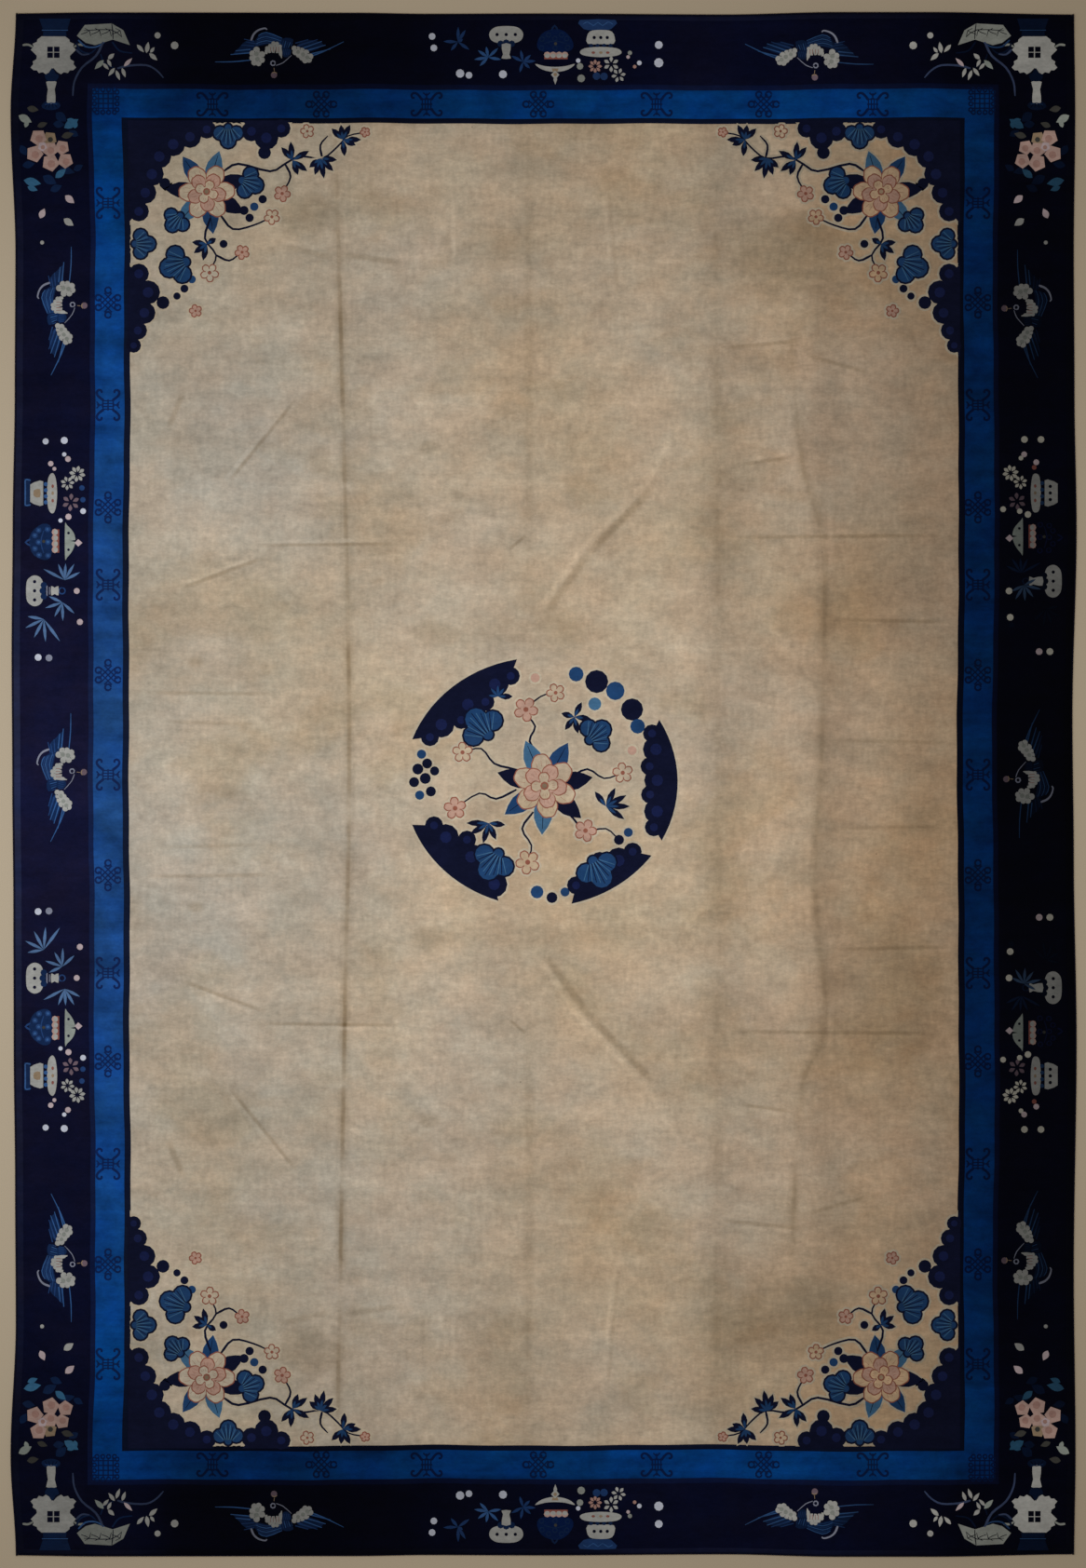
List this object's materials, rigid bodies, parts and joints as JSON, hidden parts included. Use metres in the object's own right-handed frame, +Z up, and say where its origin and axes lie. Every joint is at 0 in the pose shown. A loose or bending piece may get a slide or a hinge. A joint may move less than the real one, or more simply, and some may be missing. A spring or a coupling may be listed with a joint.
{
  "type": "chinese pile rug",
  "caption": "Large flat hand-knotted pile rug lying on the floor, with overcast edge cords, a plain field and soft fold ridges.",
  "frame": {"origin": "on the floor under the middle of the rug, at the bottom centre of its box", "axes": "+X across the width, +Y along the length, +Z up out of the pile"},
  "size_m": [3.0488, 4.42, 0.018],
  "materials": {
    "ivory_pile": "ivory wool pile, matt",
    "navy_wool": "near-black navy wool, matt",
    "navy_pile": "near-black navy wool pile, matt",
    "blue_pile": "mid-blue wool pile, matt",
    "motif_pile": "ivory, rose, brick and blue wool pile of the motifs, matt"
  },
  "bodies": {
    "root": {"carpet": "ivory_pile", "side_cord_left": "navy_wool", "side_cord_right": "navy_wool", "end_cord_near": "navy_wool", "end_cord_far": "navy_wool"}
  },
  "joints": []
}
